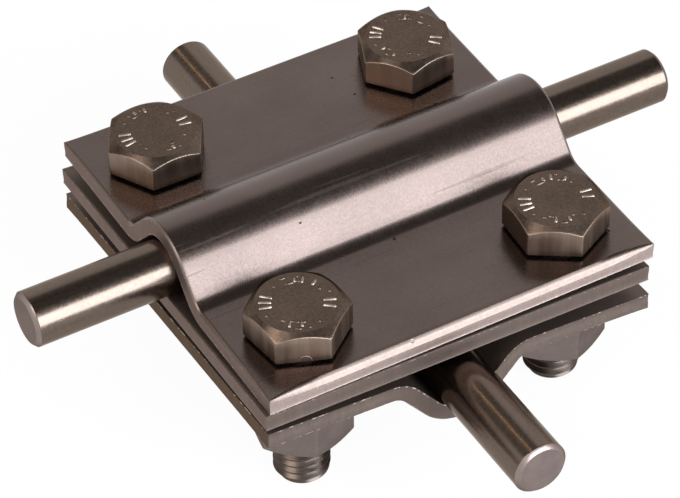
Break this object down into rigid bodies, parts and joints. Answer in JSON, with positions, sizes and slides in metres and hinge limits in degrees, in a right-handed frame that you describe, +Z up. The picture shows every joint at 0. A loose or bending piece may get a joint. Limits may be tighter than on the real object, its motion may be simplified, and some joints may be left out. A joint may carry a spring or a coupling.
{
  "type": "cross clamp block",
  "caption": "Square cross clamp block: channelled plates bolted together at the corners hold round bars that cross at a right angle on separate levels.",
  "frame": {"origin": "on the ground, midway between the lower ends of the bolts", "axes": "+X along the upper bar, +Y along the lower bar in plan, +Z up along the bolts"},
  "size_m": [0.1006, 0.1008, 0.0331],
  "materials": {
    "plate": "mill finish",
    "bar": "drawn and polished",
    "bolt": "cold formed",
    "nut": "cold formed"
  },
  "bodies": {
    "plates": {"top_plate": "plate", "middle_plate": "plate", "bottom_plate": "plate"},
    "upper_bar": {"upper_bar": "bar"},
    "lower_bar": {"lower_bar": "bar"},
    "bolt_front_left": {"bolt_front_left": "bolt"},
    "nut_front_left": {"nut_front_left": "nut"},
    "bolt_front_right": {"bolt_front_right": "bolt"},
    "nut_front_right": {"nut_front_right": "nut"},
    "bolt_back_left": {"bolt_back_left": "bolt"},
    "nut_back_left": {"nut_back_left": "nut"},
    "bolt_back_right": {"bolt_back_right": "bolt"},
    "nut_back_right": {"nut_back_right": "nut"}
  },
  "joints": [
    {"name": "upper_bar_slide", "type": "slide", "parent": "plates", "child": "upper_bar", "axis": [1, 0, 0], "range_m": [-0.0196, 0.021]},
    {"name": "lower_bar_slide", "type": "slide", "parent": "plates", "child": "lower_bar", "axis": [0, 0.9998, -0.0209], "range_m": [-0.0203, 0.0203]},
    {"name": "bolt_front_left_turn", "type": "hinge", "parent": "plates", "child": "bolt_front_left", "pos_m": [-0.02025, -0.02025, 0.026], "axis": [0, 0, 1], "range_deg": [0, 2387.4]},
    {"name": "nut_front_left_run", "type": "slide", "parent": "plates", "child": "nut_front_left", "axis": [0, 0, 1], "range_m": [-0.00829, 0]},
    {"name": "bolt_front_right_turn", "type": "hinge", "parent": "plates", "child": "bolt_front_right", "pos_m": [0.02025, -0.02025, 0.026], "axis": [0, 0, 1], "range_deg": [0, 1786.3]},
    {"name": "nut_front_right_run", "type": "slide", "parent": "plates", "child": "nut_front_right", "axis": [0, 0, 1], "range_m": [-0.0062, 0]},
    {"name": "bolt_back_left_turn", "type": "hinge", "parent": "plates", "child": "bolt_back_left", "pos_m": [-0.02025, 0.02025, 0.026], "axis": [0, 0, 1], "range_deg": [0, 1704.7]},
    {"name": "nut_back_left_run", "type": "slide", "parent": "plates", "child": "nut_back_left", "axis": [0, 0, 1], "range_m": [-0.00592, 0]},
    {"name": "bolt_back_right_turn", "type": "hinge", "parent": "plates", "child": "bolt_back_right", "pos_m": [0.02025, 0.02025, 0.026], "axis": [0, 0, 1], "range_deg": [0, 1103.6]},
    {"name": "nut_back_right_run", "type": "slide", "parent": "plates", "child": "nut_back_right", "axis": [0, 0, 1], "range_m": [-0.00383, 0]}
  ],
  "couplings": [
    {"joint": "nut_front_left_run", "follows": "bolt_front_left_turn", "m_per_rad": -0.00019894},
    {"joint": "nut_front_right_run", "follows": "bolt_front_right_turn", "m_per_rad": -0.00019894},
    {"joint": "nut_back_left_run", "follows": "bolt_back_left_turn", "m_per_rad": -0.00019894},
    {"joint": "nut_back_right_run", "follows": "bolt_back_right_turn", "m_per_rad": -0.00019894}
  ]
}
